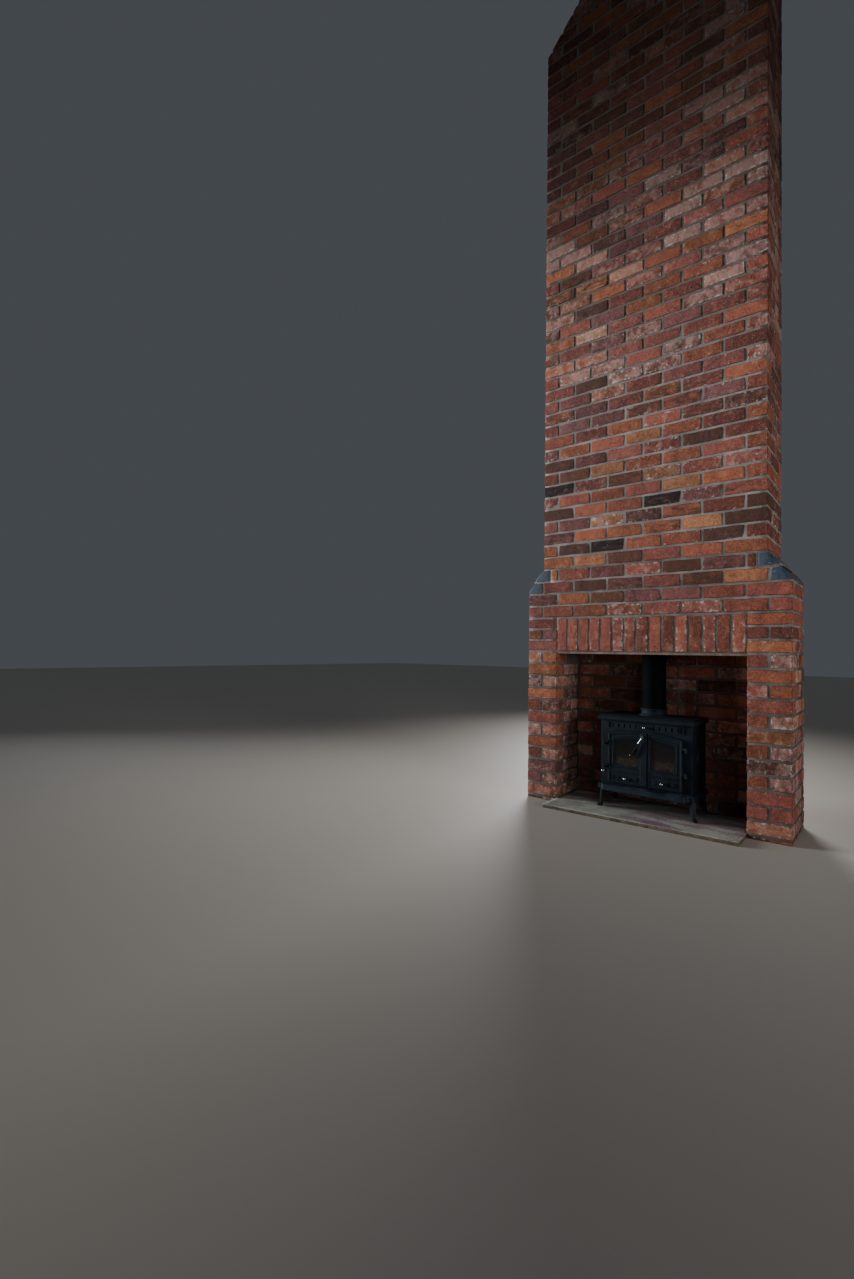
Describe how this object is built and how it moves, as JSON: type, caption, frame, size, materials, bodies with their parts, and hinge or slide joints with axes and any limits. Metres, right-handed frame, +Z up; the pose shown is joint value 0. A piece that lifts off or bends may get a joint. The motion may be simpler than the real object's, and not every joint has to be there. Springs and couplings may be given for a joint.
{
  "type": "brick chimney breast with wood-burning stove",
  "caption": "Tall brick chimney breast with shouldered sides, a recess with a stone hearth and soldier-course head, and a cast-iron double-door stove with flue pipe.",
  "frame": {"origin": "centre of the footprint at floor level, on the underside of the hearth slab", "axes": "+Z up, +Y towards the wall behind the breast, +X to the right for someone facing the stove"},
  "size_m": [1.67, 0.67, 6.2167],
  "materials": {
    "brick": "matte",
    "splay_brick": "matte",
    "hearth_stone": "matte",
    "lintel": "matte",
    "plate_steel": "matte",
    "bracket_zinc": "matte",
    "pipe_enamel": "satin",
    "stove_iron": "matte",
    "grate_iron": "matte",
    "firebrick": "matte",
    "stove_glass": "gloss",
    "handle_chrome": "polished",
    "grip_enamel": "gloss"
  },
  "bodies": {
    "breast_and_stove": {"hearth_slab": "hearth_stone", "left_pier": "brick", "right_pier": "brick", "lintel_bar": "lintel", "soldier_course": "brick", "breast_band": "brick", "left_shoulder": "splay_brick", "right_shoulder": "splay_brick", "shaft_front_wall": "brick", "shaft_left_wall": "brick", "shaft_right_wall": "brick", "back_wall": "brick", "register_plate": "plate_steel", "left_plate_bracket": "bracket_zinc", "right_plate_bracket": "bracket_zinc", "flue_pipe": "pipe_enamel", "flue_collar": "stove_iron", "top_plate": "stove_iron", "stove_front": "stove_iron", "stove_left_side": "stove_iron", "stove_right_side": "stove_iron", "stove_back": "stove_iron", "base_plate": "stove_iron", "front_left_leg": "stove_iron", "front_right_leg": "stove_iron", "rear_left_leg": "stove_iron", "rear_right_leg": "stove_iron", "grate": "grate_iron", "left_firebrick": "firebrick", "right_firebrick": "firebrick", "rear_firebrick": "firebrick", "baffle_plate": "grate_iron"},
    "left_leaf": {"left_door": "stove_iron", "left_glass": "stove_glass"},
    "right_leaf": {"right_door": "stove_iron", "right_glass": "stove_glass"},
    "left_vent": {"left_vent_slider": "stove_iron", "left_vent_knob": "handle_chrome"},
    "right_vent": {"right_vent_slider": "stove_iron", "right_vent_knob": "handle_chrome"},
    "upper_air": {"upper_air_slider": "stove_iron", "upper_air_knob": "handle_chrome"},
    "handle": {"door_handle": "handle_chrome", "handle_grip": "grip_enamel"},
    "riddler": {"riddling_rod": "handle_chrome"}
  },
  "joints": [
    {"name": "left_door_hinge", "type": "hinge", "parent": "breast_and_stove", "child": "left_leaf", "pos_m": [-0.252, -0.137, 0.365], "axis": [0, 0, -1], "range_deg": [0, 90]},
    {"name": "right_door_hinge", "type": "hinge", "parent": "breast_and_stove", "child": "right_leaf", "pos_m": [0.274, -0.137, 0.365], "axis": [0, 0, 1], "range_deg": [0, 90]},
    {"name": "handle_turn", "type": "hinge", "parent": "left_leaf", "child": "handle", "pos_m": [0.008, -0.13, 0.52], "axis": [0, 1, 0], "range_deg": [0, 65]},
    {"name": "left_vent_slide", "type": "slide", "parent": "left_leaf", "child": "left_vent", "axis": [-1, 0, 0], "range_m": [0, 0.019]},
    {"name": "right_vent_slide", "type": "slide", "parent": "right_leaf", "child": "right_vent", "axis": [1, 0, 0], "range_m": [0, 0.019]},
    {"name": "upper_air_slide", "type": "slide", "parent": "breast_and_stove", "child": "upper_air", "axis": [1, 0, 0], "range_m": [0, 0.019]},
    {"name": "riddling_pull", "type": "slide", "parent": "breast_and_stove", "child": "riddler", "axis": [0, -1, 0], "range_m": [0, 0.04]}
  ]
}
